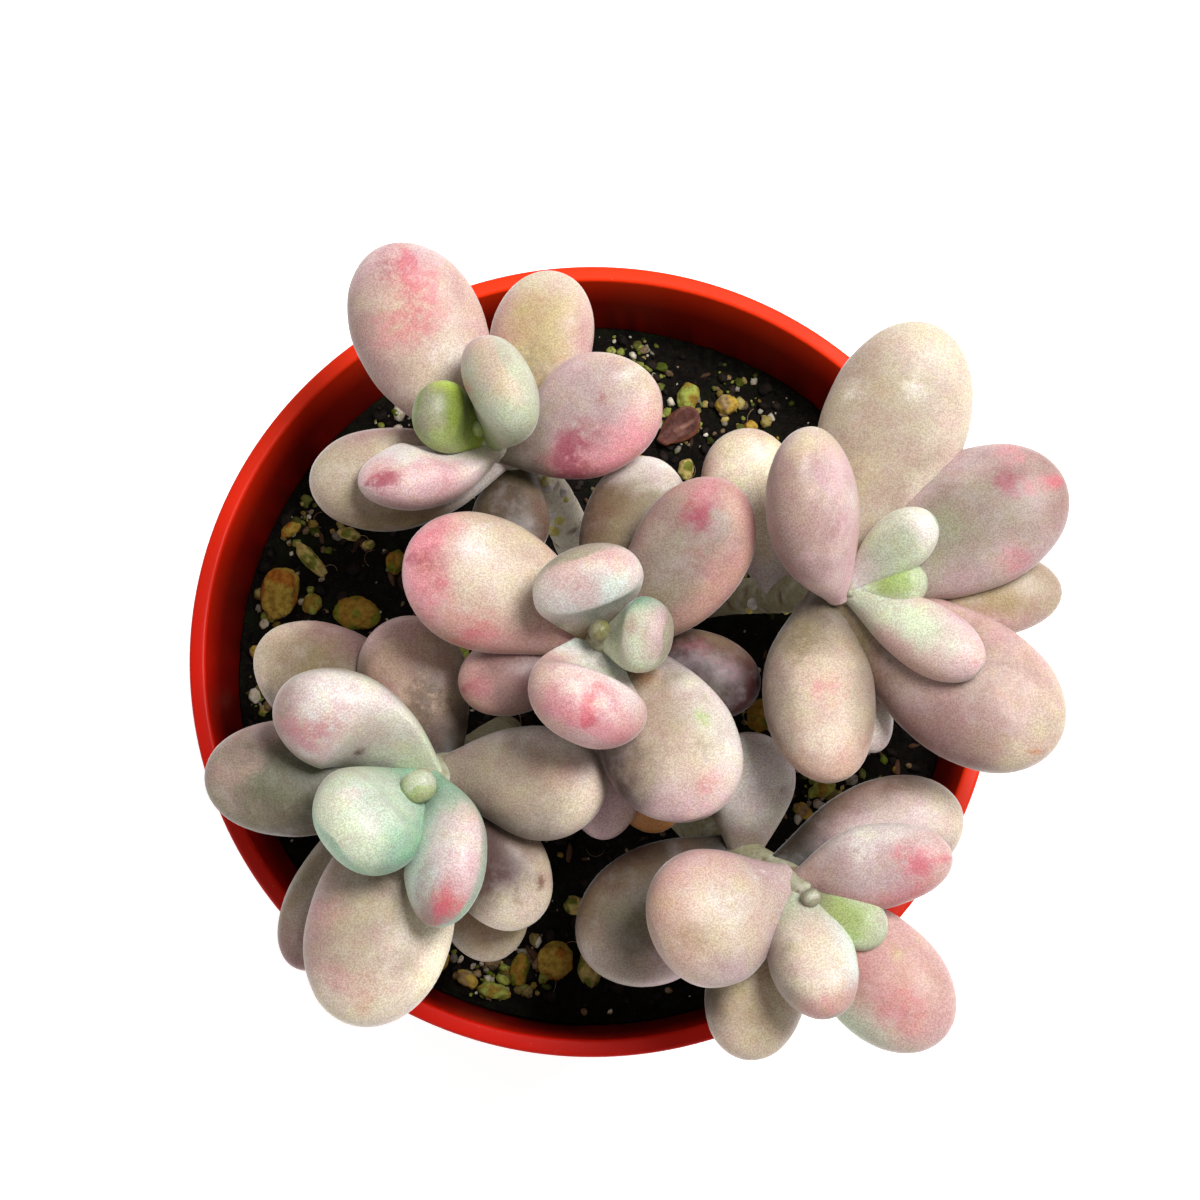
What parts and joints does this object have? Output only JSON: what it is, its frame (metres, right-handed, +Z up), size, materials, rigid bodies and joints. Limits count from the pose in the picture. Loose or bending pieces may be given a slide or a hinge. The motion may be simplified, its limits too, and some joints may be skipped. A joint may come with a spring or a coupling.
{
  "type": "potted graptopetalum",
  "caption": "Leafy graptopetalum with plump pastel leaves in loose rosettes, growing in gritty mix in a round red plastic nursery pot",
  "frame": {"origin": "centre of the pot's underside", "axes": "+Z up out of the pot, -Y the front"},
  "size_m": [0.1564, 0.1509, 0.1703],
  "materials": {
    "pot_plastic": "satin",
    "potting_mix": "matte",
    "leaf_skin": "matte",
    "dried_leaf": "matte"
  },
  "bodies": {
    "root": {"pot": "pot_plastic", "soil": "potting_mix", "stem_back_left": "leaf_skin", "stem_middle": "leaf_skin", "stem_front_left": "leaf_skin", "stem_right": "leaf_skin", "stem_front_right": "leaf_skin", "litter_front": "dried_leaf", "litter_back": "dried_leaf"}
  },
  "joints": []
}
